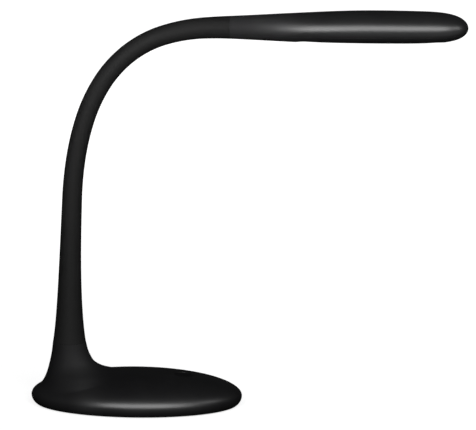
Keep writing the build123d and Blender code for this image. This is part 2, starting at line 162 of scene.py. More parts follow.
def growPiece(name, seedPoints, tree, values, edges=()):
    # a piece grown by a geometry tree from a few points
    mesh = bpy.data.meshes.new(name)
    mesh.from_pydata([tuple(c * mm for c in p) for p in seedPoints], list(edges), [])
    piece = makePiece(name, mesh)
    modifier = piece.modifiers.new("grow", "NODES")
    modifier.node_group = tree
    setInputs(modifier, values)
    bake(piece)
    keepOneSlot(piece.data)
    faceOutwards(piece.data)
    return piece


# materials

def surface(name, look, relief=None):
    # every finish: colour that drifts, fine grain in the bump, uneven gloss and worn edges
    material = bpy.data.materials.new(name)
    material.use_nodes = True
    tree = material.node_tree
    tree.nodes.clear()
    place = addNode(tree, "ShaderNodeTexCoord").outputs["Object"]
    drift = addNode(
        tree,
        "ShaderNodeTexNoise",
        inputs={"Vector": place, "Scale": 1 / (look["patch"] * mm), "Detail": 5.0, "Roughness": 0.62},
    ).outputs[0]
    grain = addNode(
        tree,
        "ShaderNodeTexNoise",
        inputs={"Vector": place, "Scale": 1 / (look["grain"] * mm), "Detail": 2.0, "Roughness": 0.5},
    ).outputs[0]
    height = relief(tree, place) if relief else grain

    # wear: where the rounded normal leaves the true one there is an edge
    rounded = addNode(tree, "ShaderNodeBevel", {"samples": 4}, {"Radius": look.get("wearWidth", 0.5) * mm}).outputs[0]
    trueNormal = addNode(tree, "ShaderNodeNewGeometry").outputs["Normal"]
    bend = addNode(tree, "ShaderNodeVectorMath", {"operation": "DOT_PRODUCT"}, {0: rounded, 1: trueNormal})
    edge = addNode(
        tree,
        "ShaderNodeMapRange",
        inputs={"Value": bend.outputs["Value"], "From Min": 0.99, "From Max": 0.86, "To Min": 0.0, "To Max": 1.0},
    ).outputs[0]
    wear = addNode(tree, "ShaderNodeMath", {"operation": "MULTIPLY", "use_clamp": True}, {0: edge, 1: drift}).outputs[0]

    patchy = addNode(
        tree, "ShaderNodeMapRange", inputs={"Value": drift, "From Min": 0.35, "From Max": 0.65}
    ).outputs[0]
    body = addNode(
        tree,
        "ShaderNodeMix",
        {"data_type": "RGBA"},
        {"Factor": patchy, "A": toLinear(look["colour"]), "B": toLinear(look["drifted"])},
    ).outputs[2]
    worn = addNode(
        tree, "ShaderNodeMix", {"data_type": "RGBA"}, {"Factor": wear, "A": body, "B": toLinear(look["worn"])}
    ).outputs[2]
    spread = look.get("roughSpread", 0.04)
    gloss = addNode(
        tree,
        "ShaderNodeMapRange",
        inputs={
            "Value": drift,
            "From Min": 0.3,
            "From Max": 0.7,
            "To Min": look["rough"] - spread,
            "To Max": look["rough"] + spread,
        },
    ).outputs[0]
    if "matte" in look:  # a coarser, duller mould towards the neck
        matte = look["matte"]
        along = addNode(tree, "ShaderNodeSeparateXYZ", inputs={0: place}).outputs[matte["axis"]]
        share = addNode(
            tree,
            "ShaderNodeMapRange",
            {"interpolation_type": "SMOOTHSTEP"},
            {"Value": along, "From Min": matte["satinAt"] * mm, "From Max": matte["matteAt"] * mm},
        ).outputs[0]
        gloss = addNode(
            tree, "ShaderNodeMix", {"data_type": "FLOAT"}, {0: share, 2: gloss, 3: matte["rough"]}
        ).outputs[0]
        shine = addNode(
            tree, "ShaderNodeMix", {"data_type": "FLOAT"}, {0: share, 2: 0.5, 3: matte["shine"]}
        ).outputs[0]
    bump = addNode(
        tree,
        "ShaderNodeBump",
        inputs={"Strength": look.get("bumpStrength", 0.5), "Distance": look["depth"] * mm, "Height": height},
    ).outputs[0]
    shader = addNode(
        tree, "ShaderNodeBsdfPrincipled", inputs={"Base Color": worn, "Roughness": gloss, "Normal": bump}
    )
    if "matte" in look:
        tree.links.new(shine, shader.inputs["Specular IOR Level"])
    for socket, value in look.get("shader", {}).items():
        shader.inputs[socket].default_value = value
    addNode(tree, "ShaderNodeOutputMaterial", inputs={"Surface": shader.outputs[0]})
    return material


def woundSteel(tree, place):
    # round wire wound side by side, one ridge per turn
    turns = addNode(
        tree,
        "ShaderNodeTexWave",
        {"wave_type": "BANDS", "bands_direction": "DIAGONAL", "wave_profile": "SIN"},
        {"Vector": place, "Scale": 0.32 / (2.2 * mm), "Distortion": 0.3, "Detail": 1.0},
    )
    return turns.outputs[1]


def glassWeave(tree, place):
    # the glass cloth that telegraphs through the solder mask
    warp = addNode(
        tree, "ShaderNodeTexWave", {"bands_direction": "X"}, {"Vector": place, "Scale": 0.32 / (1.0 * mm)}
    ).outputs[1]
    weft = addNode(
        tree, "ShaderNodeTexWave", {"bands_direction": "Y"}, {"Vector": place, "Scale": 0.32 / (1.0 * mm)}
    ).outputs[1]
    return addNode(tree, "ShaderNodeMath", {"operation": "MULTIPLY"}, {0: warp, 1: weft}).outputs[0]


def rolledLines(tree, place):
    # long fine lines that the rolls leave along the sheet
    drawn = addNode(tree, "ShaderNodeMapping", inputs={"Vector": place, "Scale": (0.03, 1.0, 1.0)}).outputs[0]
    return addNode(
        tree, "ShaderNodeTexNoise", inputs={"Vector": drawn, "Scale": 1 / (0.35 * mm), "Detail": 3.0}
    ).outputs[0]


def dimpledRubber(tree, place):
    # small round studs that grip the table
    studs = addNode(tree, "ShaderNodeTexVoronoi", inputs={"Vector": place, "Scale": 1 / (1.6 * mm)}).outputs[0]
    return addNode(tree, "ShaderNodeMath", {"operation": "SUBTRACT"}, {0: 1.0, 1: studs}).outputs[0]


looks = {
    # injection-moulded ABS, fine spark-eroded mould: satin, with a broad soft highlight. Its black colour is painted
    # shade: far darker than the same resin on the underside, to keep the base's top dark
    "satinMouldedAbs": {
        "colour": "#080809", "drifted": "#0b0b0c", "worn": "#171718", "patch": 38.0, "grain": 0.45, "depth": 0.02,
        "rough": 0.4, "roughSpread": 0.02, "bumpStrength": 0.3,
        "shader": {"IOR": 1.54, "Coat Weight": 0.12, "Coat Roughness": 0.7},
        "matte": {"axis": "X", "satinAt": -22.0, "matteAt": -64.0, "rough": 0.75, "shine": 0.1},
    },
    # the same resin for the head, coarser where it meets the sleeve. Its black colour is painted shade too: darker than
    # on the underside, though lighter than on the base
    "satinMouldedHead": {
        "colour": "#0f0f10", "drifted": "#121213", "worn": "#1c1c1d", "patch": 38.0, "grain": 0.45, "depth": 0.02,
        "rough": 0.39, "roughSpread": 0.02, "bumpStrength": 0.3,
        "shader": {"IOR": 1.54, "Coat Weight": 0.14, "Coat Roughness": 0.8},
        "matte": {"axis": "X", "satinAt": 180.0, "matteAt": 95.0, "rough": 0.8, "shine": 0.14},
    },
    # the same resin in a coarser mould for the underside
    "texturedMouldedAbs": {
        "colour": "#1b1c1d", "drifted": "#202122", "worn": "#303132", "patch": 20.0, "grain": 0.8, "depth": 0.06,
        "rough": 0.62, "shader": {"Specular IOR Level": 0.4},
    },
    # polished-face ABS key, a little glossier than the shell from touch
    "satinAbsButton": {
        "colour": "#0a0a0b", "drifted": "#0d0d0e", "worn": "#1b1b1c", "patch": 9.0, "grain": 0.4, "depth": 0.015,
        "rough": 0.36, "shader": {"Specular IOR Level": 0.5},
    },
    # moulded silicone rubber: even, dull black with no highlight of its own
    "mattSiliconeRubber": {
        "colour": "#0b0b0b", "drifted": "#0e0e0e", "worn": "#191919", "patch": 26.0, "grain": 0.6, "depth": 0.03,
        "rough": 0.74, "roughSpread": 0.04, "bumpStrength": 0.4,
        "shader": {"IOR": 1.41, "Specular IOR Level": 0.2},
    },
    # opal acrylic with a frosted face: milky, hides the diodes
    "frostedOpalAcrylic": {
        "colour": "#f1f1ec", "drifted": "#ebebe5", "worn": "#f8f8f4", "patch": 30.0, "grain": 0.5, "depth": 0.02,
        "rough": 0.55, "shader": {"Subsurface Weight": 0.35, "Subsurface Radius": (0.004, 0.004, 0.0035), "IOR": 1.49},
    },
    # white reflective solder mask over aluminium-backed board
    "whiteSolderMask": {
        "colour": "#e6e8e4", "drifted": "#dfe2dd", "worn": "#c9a45c", "patch": 14.0, "grain": 0.6, "depth": 0.02,
        "rough": 0.38, "shader": {"Coat Weight": 0.2},
    },
    # yellow phosphor gel in the diode cups
    "phosphorGel": {
        "colour": "#e3bf3a", "drifted": "#d9b02e", "worn": "#efe2a8", "patch": 1.5, "grain": 0.2, "depth": 0.02,
        "rough": 0.28, "shader": {"Coat Weight": 0.5},
    },
    # zinc-plated steel, blue passivated: bright with a cool cast
    "zincPlatedSteel": {
        "colour": "#b4b9bf", "drifted": "#a4a9b2", "worn": "#d2d4d6", "patch": 2.2, "grain": 0.3, "depth": 0.02,
        "rough": 0.30, "wearWidth": 0.2, "shader": {"Metallic": 1.0},
    },
    # zinc plate under a black passivation: dark screws in a dark shell
    "blackPassivatedZinc": {
        "colour": "#1c1c1e", "drifted": "#232325", "worn": "#4a4a4c", "patch": 2.2, "grain": 0.3, "depth": 0.02,
        "rough": 0.42, "wearWidth": 0.2, "shader": {"Metallic": 1.0},
    },
    # nickel-plated turned steel: warm bright metal
    "nickelPlatedSteel": {
        "colour": "#bdb6a8", "drifted": "#aaa395", "worn": "#dcd6c8", "patch": 5.0, "grain": 0.35, "depth": 0.015,
        "rough": 0.24, "wearWidth": 0.25, "shader": {"Metallic": 1.0},
    },
    # flame-cut ballast plate with mill scale: dark, blotchy, half matte
    "millScaleSteel": {
        "colour": "#3d4046", "drifted": "#55524e", "worn": "#8d8a86", "patch": 12.0, "grain": 0.9, "depth": 0.08,
        "rough": 0.55, "roughSpread": 0.12, "shader": {"Metallic": 0.8},
    },
    # rolled aluminium sheet: pale with lines along it
    "rolledAluminium": {
        "colour": "#c6c8ca", "drifted": "#b9bbbe", "worn": "#e0e1e2", "patch": 18.0, "grain": 0.4, "depth": 0.015,
        "rough": 0.33, "shader": {"Metallic": 1.0},
    },
    # green glass-epoxy board under solder mask
    "greenGlassEpoxy": {
        "colour": "#11402b", "drifted": "#16492f", "worn": "#c0a35a", "patch": 7.0, "grain": 0.5, "depth": 0.03,
        "rough": 0.34, "shader": {"Coat Weight": 0.3},
    },
    # dark thermoset bodies of small electronic parts
    "mouldedEpoxyPart": {
        "colour": "#202124", "drifted": "#28292d", "worn": "#45464a", "patch": 3.0, "grain": 0.3, "depth": 0.02,
        "rough": 0.5, "wearWidth": 0.2,
    },
    # soft PVC lead jacket
    "softPvc": {
        "colour": "#19191a", "drifted": "#1f1f20", "worn": "#2c2c2d", "patch": 8.0, "grain": 0.5, "depth": 0.02,
        "rough": 0.48,
    },
    # spring steel wire wound into a gooseneck, oiled grey
    "woundSpringSteel": {
        "colour": "#6b6d70", "drifted": "#57595d", "worn": "#a2a4a6", "patch": 9.0, "grain": 0.5, "depth": 0.5,
        "rough": 0.4, "shader": {"Metallic": 1.0},
    },
    # dense grip rubber under the base
    "gripRubber": {
        "colour": "#1d1d1d", "drifted": "#252524", "worn": "#2e2e2d", "patch": 16.0, "grain": 0.8, "depth": 0.25,
        "rough": 0.85, "shader": {"Specular IOR Level": 0.3},
    },
}
reliefs = {
    "woundSpringSteel": woundSteel,
    "greenGlassEpoxy": glassWeave,
    "rolledAluminium": rolledLines,
    "gripRubber": dimpledRubber,
}
finishes = {name: surface(name, look, reliefs.get(name)) for name, look in looks.items()}
print("materials made:", len(finishes))


# flexible neck

neck = {
    "x": -64.0,
    "seam": 60.3,
    "linkLengths": [22.0] + [39.0] * 9 + [25.0],
    "linkBends": [0.3, 0.8, 0.7, 0.3, 6.4, 8.7, 14.0, 19.4, 21.3, 14.0, 3.25],  # degrees forward, bottom to top
    "radius": 8.95,
    "footFlare": 6.75,
    "footFade": 50.0,
    "footPower": 0.9,
    "headFlare": 1.95,
    "headFade": 48.0,
    "bore": 6.8,
    "around": 72,
    "step": 1.0,  # ring spacing along the neck
    "softEdge": 0.35,  # rounding where the sleeve meets the base and the head
    "fromAbove": (2, 8),  # pieces whose two ends are listed from their upper body down
}
neckLength = sum(neck["linkLengths"])
linkEnds = [sum(neck["linkLengths"][:i + 1]) for i in range(len(neck["linkLengths"]))]


def neckPlace(distance):
    # point and heading this far along the neck: each link is an arc, straight on past both ends
    spot = Vector((neck["x"], 0, neck["seam"]))
    heading = 90.0
    left = distance
    for length, bend in zip(neck["linkLengths"], neck["linkBends"]):
        step = max(0.0, min(left, length))
        turn = bend * step / length
        radius = length / math.radians(bend)
        chord = 2 * radius * math.sin(math.radians(turn / 2))
        along = math.radians(heading - turn / 2)
        spot += Vector((math.cos(along), 0, math.sin(along))) * chord
        heading -= turn
        left -= step
    beyond = distance - neckLength if distance > neckLength else min(distance, 0.0)
    way = Vector((math.cos(math.radians(heading)), 0, math.sin(math.radians(heading))))
    return spot + way * beyond, way


def sleeveTree():
    # a tube wall that follows a path: outer rings out, inner rings back, flared at the foot and the head
    tree, given = newTree(
        "siliconeSleeve",
        ["Radius", "Foot flare", "Foot fade", "Foot power", "Head flare", "Head fade", "Bore", "Starts at",
         "Neck length", "Margin"],
        ["Columns", "Rows"],
    )
    size = given.outputs
    path = addNode(tree, "GeometryNodeMeshToCurve", inputs={"Mesh": size["Geometry"]}).outputs[0]
    length = addNode(tree, "GeometryNodeCurveLength", inputs={"Curve": path}).outputs[0]
    grid = addNode(
        tree,
        "GeometryNodeMeshGrid",
        inputs={"Size X": 1.0, "Size Y": 1.0, "Vertices X": size["Columns"], "Vertices Y": size["Rows"]},
    ).outputs[0]
    flat = addNode(
        tree, "ShaderNodeSeparateXYZ", inputs={0: addNode(tree, "GeometryNodeInputPosition").outputs[0]}
    )
    angle = addNode(
        tree, "ShaderNodeMath", {"operation": "MULTIPLY_ADD"}, {0: flat.outputs["X"], 1: 2 * math.pi, 2: math.pi}
    ).outputs[0]

    # which ring a point is on, and how far along the path it lies
    wraps = addNode(tree, "ShaderNodeMath", {"operation": "SUBTRACT"}, {0: size["Rows"], 1: 1.0}).outputs[0]
    rings = addNode(tree, "ShaderNodeMath", {"operation": "MULTIPLY"}, {0: wraps, 1: 0.5}).outputs[0]
    row = addNode(
        tree, "ShaderNodeMath", {"operation": "MULTIPLY_ADD"}, {0: flat.outputs["Y"], 1: wraps, 2: rings}
    ).outputs[0]
    row = addNode(tree, "ShaderNodeMath", {"operation": "ROUND"}, {0: row}).outputs[0]
    row = addNode(tree, "ShaderNodeMath", {"operation": "MODULO"}, {0: row, 1: wraps}).outputs[0]
    inside = addNode(
        tree, "ShaderNodeMath", {"operation": "GREATER_THAN"},
        {0: row, 1: addNode(tree, "ShaderNodeMath", {"operation": "SUBTRACT"}, {0: rings, 1: 0.5}).outputs[0]},
    ).outputs[0]
    last = addNode(tree, "ShaderNodeMath", {"operation": "SUBTRACT"}, {0: wraps, 1: 1.0}).outputs[0]
    back = addNode(tree, "ShaderNodeMath", {"operation": "SUBTRACT"}, {0: last, 1: row}).outputs[0]
    step = addNode(tree, "ShaderNodeMath", {"operation": "MINIMUM"}, {0: row, 1: back}).outputs[0]
    steps = addNode(tree, "ShaderNodeMath", {"operation": "SUBTRACT"}, {0: rings, 1: 1.0}).outputs[0]
    share = addNode(tree, "ShaderNodeMath", {"operation": "DIVIDE"}, {0: step, 1: steps}).outputs[0]
    margins = addNode(tree, "ShaderNodeMath", {"operation": "MULTIPLY"}, {0: size["Margin"], 1: 2.0}).outputs[0]
    span = addNode(tree, "ShaderNodeMath", {"operation": "SUBTRACT"}, {0: length, 1: margins}).outputs[0]
    onPath = addNode(
        tree, "ShaderNodeMath", {"operation": "MULTIPLY_ADD"}, {0: share, 1: span, 2: size["Margin"]}
    ).outputs[0]
    distance = addNode(
        tree, "ShaderNodeMath", {"operation": "MULTIPLY_ADD"}, {0: share, 1: span, 2: size["Starts at"]}
    ).outputs[0]
    spot = addNode(tree, "GeometryNodeSampleCurve", {"mode": "LENGTH"}, {"Curves": path, "Length": onPath})

    # radius rule
    fade = addNode(tree, "ShaderNodeMath", {"operation": "DIVIDE"}, {0: distance, 1: size["Foot fade"]}).outputs[0]
    fade = addNode(tree, "ShaderNodeMath", {"operation": "POWER"}, {0: fade, 1: size["Foot power"]}).outputs[0]
    fade = addNode(tree, "ShaderNodeMath", {"operation": "MULTIPLY"}, {0: fade, 1: -1.0}).outputs[0]
    fade = addNode(tree, "ShaderNodeMath", {"operation": "EXPONENT"}, {0: fade}).outputs[0]
    radius = addNode(
        tree, "ShaderNodeMath", {"operation": "MULTIPLY_ADD"}, {0: fade, 1: size["Foot flare"], 2: size["Radius"]}
    ).outputs[0]
    rise = addNode(tree, "ShaderNodeMath", {"operation": "SUBTRACT"}, {0: distance, 1: size["Neck length"]}).outputs[0]
    rise = addNode(tree, "ShaderNodeMath", {"operation": "DIVIDE"}, {0: rise, 1: size["Head fade"]}).outputs[0]
    rise = addNode(tree, "ShaderNodeMath", {"operation": "EXPONENT"}, {0: rise}).outputs[0]
    radius = addNode(
        tree, "ShaderNodeMath", {"operation": "MULTIPLY_ADD"}, {0: rise, 1: size["Head flare"], 2: radius}
    ).outputs[0]
    radius = addNode(
        tree, "ShaderNodeMix", {"data_type": "FLOAT"}, {0: inside, 2: radius, 3: size["Bore"]}
    ).outputs[0]

    # each point steps out from the path, square to it
    side = addNode(
        tree, "ShaderNodeVectorMath", {"operation": "CROSS_PRODUCT"}, {0: spot.outputs["Tangent"], 1: (0, 1, 0)}
    ).outputs[0]
    cosine = addNode(tree, "ShaderNodeMath", {"operation": "COSINE"}, {0: angle}).outputs[0]
    sine = addNode(tree, "ShaderNodeMath", {"operation": "SINE"}, {0: angle}).outputs[0]
    side = addNode(tree, "ShaderNodeVectorMath", {"operation": "SCALE"}, {0: side, "Scale": cosine}).outputs[0]
    across = addNode(tree, "ShaderNodeCombineXYZ", inputs={"Y": sine}).outputs[0]
    out = addNode(tree, "ShaderNodeVectorMath", {"operation": "ADD"}, {0: side, 1: across}).outputs[0]
    out = addNode(tree, "ShaderNodeVectorMath", {"operation": "SCALE"}, {0: out, "Scale": radius}).outputs[0]
    place = addNode(
        tree, "ShaderNodeVectorMath", {"operation": "ADD"}, {0: spot.outputs["Position"], 1: out}
    ).outputs[0]
    tube = addNode(tree, "GeometryNodeSetPosition", inputs={"Geometry": grid, "Position": place}).outputs[0]
    tube = addNode(tree, "GeometryNodeMergeByDistance", inputs={"Geometry": tube, "Distance": 0.01 * mm}).outputs[0]
    endTree(tree, tube, given)
    return tree


def roundEndRing(mesh, centre, way):
    # rounds the outer edge of the end ring that lies in a plane
    sheet = bmesh.new()
    sheet.from_mesh(mesh)
    least = (neck["bore"] + 1) * mm
    edges = [
        e for e in sheet.edges
        if all(abs((v.co - centre).dot(way)) < 0.02 * mm and (v.co - centre).length > least for v in e.verts)
    ]
    bmesh.ops.bevel(
        sheet, geom=edges, offset=neck["softEdge"] * mm, segments=3, profile=0.5, affect="EDGES"
    )
    sheet.to_mesh(mesh)
    sheet.free()


def makeSleeve():
    # one piece per joint, from the middle of a link to the middle of the next
    tree = sleeveTree()
    middles = [end - length / 2 for end, length in zip(linkEnds, neck["linkLengths"])]
    bodies = ["base"] + [f"neck_link_{k}" for k in range(1, 10)] + ["head"]
    margin = neck["step"]
    for k in range(10):
        start = 0.0 if k == 0 else middles[k]
        end = neckLength if k == 9 else middles[k + 1]
        count = round((end - start + 2 * margin) / neck["step"]) + 1
        places = [start - margin + (end - start + 2 * margin) * i / (count - 1) for i in range(count)]
        rings = round((end - start) / neck["step"]) + 1
        piece = growPiece(
            f"neckSleeve{k}",
            [neckPlace(p)[0] for p in places],
            tree,
            {
                "Radius": neck["radius"] * mm,
                "Foot flare": neck["footFlare"] * mm,
                "Foot fade": neck["footFade"] * mm,
                "Foot power": neck["footPower"],
                "Head flare": neck["headFlare"] * mm,
                "Head fade": neck["headFade"] * mm,
                "Bore": neck["bore"] * mm,
                "Starts at": start * mm,
                "Neck length": neckLength * mm,
                "Margin": margin * mm,
                "Columns": neck["around"] + 1,
                "Rows": 2 * rings + 1,
                "Material": finishes["mattSiliconeRubber"],
            },
            edges=[(i, i + 1) for i in range(count - 1)],
        )
        if k in (0, 9):
            spot, way = neckPlace(0.0 if k == 0 else neckLength)
            roundEndRing(piece.data, spot * mm, way)
        smooth(piece.data)
        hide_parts(f"neck_sleeve_{k}")
        if k == 9:
            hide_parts("neck_sleeve_10")
        ends = [(bodies[i], neckPlace(middles[i])[0] * mm) for i in (k, k + 1)]
        if k in neck["fromAbove"]:
            ends.reverse()
        (lower, start), (upper, end) = ends
        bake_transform(piece)


makeSleeve()
print("sleeve made")


# holes and walls for the moulded shells

def openHole(mesh, near, radius, margin, edgePoints):
    # clears the faces round a hole and joins what is left to the hole's own edge
    sheet = bmesh.new()
    sheet.from_mesh(mesh)
    cleared = {f for f in sheet.faces if any(near(v.co / mm) < radius + margin for v in f.verts)}
    border = [e for e in sheet.edges if len(e.link_faces) == 2 and len(cleared.intersection(e.link_faces)) == 1]
    bmesh.ops.delete(sheet, geom=list(cleared), context="FACES")
    ring = [sheet.verts.new([c * mm for c in p]) for p in edgePoints]
    border += [sheet.edges.new((ring[i - 1], ring[i])) for i in range(len(ring))]
    bmesh.ops.bridge_loops(sheet, edges=border)
    bmesh.ops.recalc_face_normals(sheet, faces=sheet.faces)
    sheet.to_mesh(mesh)
    sheet.free()


def turnOut(mesh, outward):
    # makes an open sheet face outwards, judged by the face nearest a point on its outside
    spot = Vector(outward) * mm
    nearest = min(mesh.polygons, key=lambda p: (p.center - spot).length)
    if nearest.normal.dot(spot - nearest.center) < 0:
        mesh.flip_normals()


def giveWall(piece, wall, softEdge, segments=3):
    thick = piece.modifiers.new("wall", "SOLIDIFY")
    thick.thickness = wall * mm
    thick.offset = -1
    thick.use_even_offset = True
    thick.thickness_clamp = 1.0
    rounding = piece.modifiers.new("rounding", "BEVEL")
    rounding.width = softEdge * mm
    rounding.segments = segments
    rounding.limit_method = "ANGLE"
    rounding.angle_limit = math.radians(50)
    piece.data.shade_smooth()
    bake(piece)
    smooth(piece.data, 40)


def sheetOf(name, rows, closed):
    # quads between rows of points, wrapped round when closed
    count = len(rows[0])
    faces = []
    for r in range(len(rows) - 1):
        for c in range(count if closed else count - 1):
            d = (c + 1) % count
            faces.append((r * count + c, r * count + d, (r + 1) * count + d, (r + 1) * count + c))
    return meshFrom(name, [p for row in rows for p in row], faces)


def hermite(table, place, column):
    # smooth curve through a table's column, straight beyond its last row
    if place >= table[-1][0]:
        slope = (table[-1][column] - table[-2][column]) / (table[-1][0] - table[-2][0])
        return table[-1][column] + slope * (place - table[-1][0])
    i = max(i for i in range(len(table) - 1) if table[i][0] <= max(place, table[0][0]))

    def slopeAt(k):
        low, high = max(k - 1, 0), min(k + 1, len(table) - 1)
        return (table[high][column] - table[low][column]) / (table[high][0] - table[low][0])

    width = table[i + 1][0] - table[i][0]
    t = (place - table[i][0]) / width
    return (
        (2 * t ** 3 - 3 * t ** 2 + 1) * table[i][column]
        + (t ** 3 - 2 * t ** 2 + t) * width * slopeAt(i)
        + (3 * t ** 2 - 2 * t ** 3) * table[i + 1][column]
        + (t ** 3 - t ** 2) * width * slopeAt(i + 1)
    )


# base shell

base = {
    "halfLength": 100.2,
    "halfDepth": 63.0,
    "rim": 9.8,  # height of the widest line
    "undercut": 10.0,
    "foot": 1.5,  # gap that the mat fills
    "dome": 22.2,
    "fullness": 2.12,  # 2 is an ellipse, more is squarer
    "wall": 2.5,
    "fillet": 4.0,  # blend between the pedestal and the dome
    "steepFillet": 2.2,  # tighter where the pedestal is steep
    "longestBlend": 16.0,
    "rays": 256,
    "fineStep": 0.5,  # close rings under the seam, then wider ones down the pedestal
    "fineRings": 4,
    "rings": 46,
    "domeRows": 48,
    "undercutRows": 14,
    "softEdge": 0.35,
}
# pedestal rings: drop below the seam, reach to the rear, reach to the front
pedestalRings = [
    (0.0, 15.7, 15.7),
    (8.0, 16.6, 17.7),
    (14.0, 17.6, 20.2),
    (20.0, 18.9, 24.2),
    (25.0, 20.1, 32.0),
    (30.5, 21.8, 45.0),
    (36.0, 24.1, 54.0),
    (45.0, 27.9, 60.0),
]
button = {
    "x": 45.0,
    "radius": 9.0,
    "gap": 0.2,
    "dish": 0.25,  # hollow of the key's face
    "faceRings": 14,
    "softEdge": 0.4,
    "flange": 10.3,  # collar that keeps the key in
    "flangeTop": 25.7,
    "flangeLow": 24.7,
    "stem": 2.2,
    "stemLow": 24.3,
    "turns": 72,
    "edgeMargin": 0.9,  # shell faces this near the hole are remade to meet its edge
}
inlet = {
    "z": 10.5,
    "hole": 4.0,
    "nose": 3.9,
    "bore": 2.75,
    "depth": 9.0,
    "pin": 1.05,
    "mouth": -98.3,
    "body": -93.0,
    "bodyLength": 13.0,
    "bodyWidth": 9.0,
    "softEdge": 0.4,
    "turns": 36,
    "edgeMargin": 0.7,
}


def domeHeight(x, y):
    share = math.hypot(x / base["halfLength"], y / base["halfDepth"])
    return base["rim"] + base["dome"] * math.sqrt(max(0.0, 1 - share ** base["fullness"]))


def ringReach(drop, angle):
    rear, front = hermite(pedestalRings, drop, 1), hermite(pedestalRings, drop, 2)
    radius, shift = (rear + front) / 2, (front - rear) / 2
    return shift * math.cos(angle) + math.sqrt(radius ** 2 - (shift * math.sin(angle)) ** 2)


def blendUp(a, b, width):
    # the higher of two heights, rounded where they cross
    near = max(width - abs(a - b), 0.0) / width
    return max(a, b) + near * near * width / 4


def steepness(drop, angle):
    return 1 / max(0.02, ringReach(drop + 0.5, angle) - ringReach(drop - 0.5, angle))


def blendWidth(slope):
    # a wide blend on the shallow front, a tight one at the rear
    steep = min(1.0, slope / 2.5)
    fillet = base["fillet"] + (base["steepFillet"] - base["fillet"]) * steep
    return min(fillet * math.hypot(1, slope), base["longestBlend"])


def shellRows():
    a, b = base["halfLength"], base["halfDepth"]
    rim = [(a * math.cos(t), b * math.sin(t)) for t in circle(base["rays"])]
    angles = [math.atan2(y, x - neck["x"]) for x, y in rim]
    fine, lowest = base["fineStep"] * base["fineRings"], pedestalRings[-1][0]
    drops = [base["fineStep"] * i for i in range(base["fineRings"])]
    drops += [fine + (lowest - fine) * i / base["rings"] for i in range(base["rings"] + 1)]
    rows = []
    for drop in drops:
        row = []
        for angle in angles:
            reach = ringReach(drop, angle)
            x, y = neck["x"] + reach * math.cos(angle), reach * math.sin(angle)
            width = blendWidth(steepness(max(drop, 0.5), angle))
            row.append((x, y, blendUp(neck["seam"] - drop, domeHeight(x, y), width)))
        rows.append(row)
    for i in range(1, base["domeRows"] + 1):
        share = math.sin(math.pi / 2 * i / base["domeRows"])
        row = []
        for angle, (rimX, rimY) in zip(angles, rim):
            start = ringReach(lowest, angle)
            reach = start + (math.hypot(rimX - neck["x"], rimY) - start) * share
            x, y = neck["x"] + reach * math.cos(angle), reach * math.sin(angle)
            slope = steepness(lowest, angle)
            pedestal = neck["seam"] - lowest - (reach - start) * slope
            row.append((x, y, blendUp(pedestal, domeHeight(x, y), blendWidth(slope))))
        rows.append(row)
    deepest = math.asin((base["rim"] - base["foot"]) / base["rim"])
    for i in range(1, base["undercutRows"] + 1):
        turn = deepest * i / base["undercutRows"]
        share = 1 - base["undercut"] / a * (1 - math.cos(turn))
        rows.append([(x * share, y * share, base["rim"] * (1 - math.sin(turn))) for x, y in rim])
    return rows


def rimSurfaceX(y, z):
    # where the rear of the shell is at this width and height
    if z > base["rim"]:
        share = (1 - ((z - base["rim"]) / base["dome"]) ** 2) ** (1 / base["fullness"])
    else:
        rise = (base["rim"] - z) / base["rim"]
        share = 1 - base["undercut"] / base["halfLength"] * (1 - math.sqrt(1 - rise * rise))
    return -base["halfLength"] * math.sqrt(share ** 2 - (y / base["halfDepth"]) ** 2)


def makeBaseShell():
    mesh = sheetOf("baseShell", shellRows(), closed=True)
    hole = button["radius"] + button["gap"]
    ring = [(button["x"] + hole * math.cos(t), hole * math.sin(t)) for t in circle(button["turns"])]
    openHole(
        mesh,
        lambda p: math.hypot(p.x - button["x"], p.y) if p.z > base["rim"] + 1 else 99.0,
        hole,
        button["edgeMargin"],
        [(x, y, domeHeight(x, y)) for x, y in ring],
    )
    hole = inlet["hole"]
    ring = [(hole * math.cos(t), inlet["z"] + hole * math.sin(t)) for t in circle(inlet["turns"])]
    openHole(
        mesh,
        lambda p: math.hypot(p.y, p.z - inlet["z"]) if p.x < -80 else 99.0,
        hole,
        inlet["edgeMargin"],
        [(rimSurfaceX(y, z), y, z) for y, z in ring],
    )
    turnOut(mesh, (0, 0, 200))
    piece = makePiece("baseShell", mesh, finishes["satinMouldedAbs"])
    giveWall(piece, base["wall"], base["softEdge"])
    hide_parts("base_cover")
    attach(piece, "base")


makeBaseShell()
print("base shell made")


# power button, a round key flush in the dome

def makeButton():
    turns = circle(button["turns"])
    soft, count = button["softEdge"], button["faceRings"]
    face = button["radius"] - soft
    rings = [(0.01, -button["dish"])]
    rings += [(face * i / count, -button["dish"] * (1 - (i / count) ** 4)) for i in range(1, count + 1)]
    rings += [(face + soft * math.sin(t), -soft * (1 - math.cos(t))) for t in (0.4, 0.8, 1.2, math.pi / 2)]
    rows = []
    for radius, drop in rings:
        rows.append([
            (button["x"] + radius * math.cos(t), radius * math.sin(t),
             domeHeight(button["x"] + radius * math.cos(t), radius * math.sin(t)) + drop)
            for t in turns
        ])
    lower = [
        (button["radius"], button["flangeTop"]),
        (button["flange"], button["flangeTop"]),
        (button["flange"], button["flangeLow"]),
        (button["stem"], button["flangeLow"]),
        (button["stem"], button["stemLow"]),
        (0.01, button["stemLow"]),
    ]
    for radius, height in lower:
        rows.append([(button["x"] + radius * math.cos(t), radius * math.sin(t), height) for t in turns])
    mesh = sheetOf("powerButton", rows, closed=True)
    closeEnds(mesh)
    faceOutwards(mesh)
    piece = makePiece("powerButton", mesh, finishes["satinAbsButton"])
    smooth(piece.data)
    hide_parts("power_button")
    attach(piece, "button")


def closeEnds(mesh):
    sheet = bmesh.new()
    sheet.from_mesh(mesh)
    bmesh.ops.holes_fill(sheet, edges=[e for e in sheet.edges if e.is_boundary], sides=0)
    sheet.to_mesh(mesh)
    sheet.free()


makeButton()


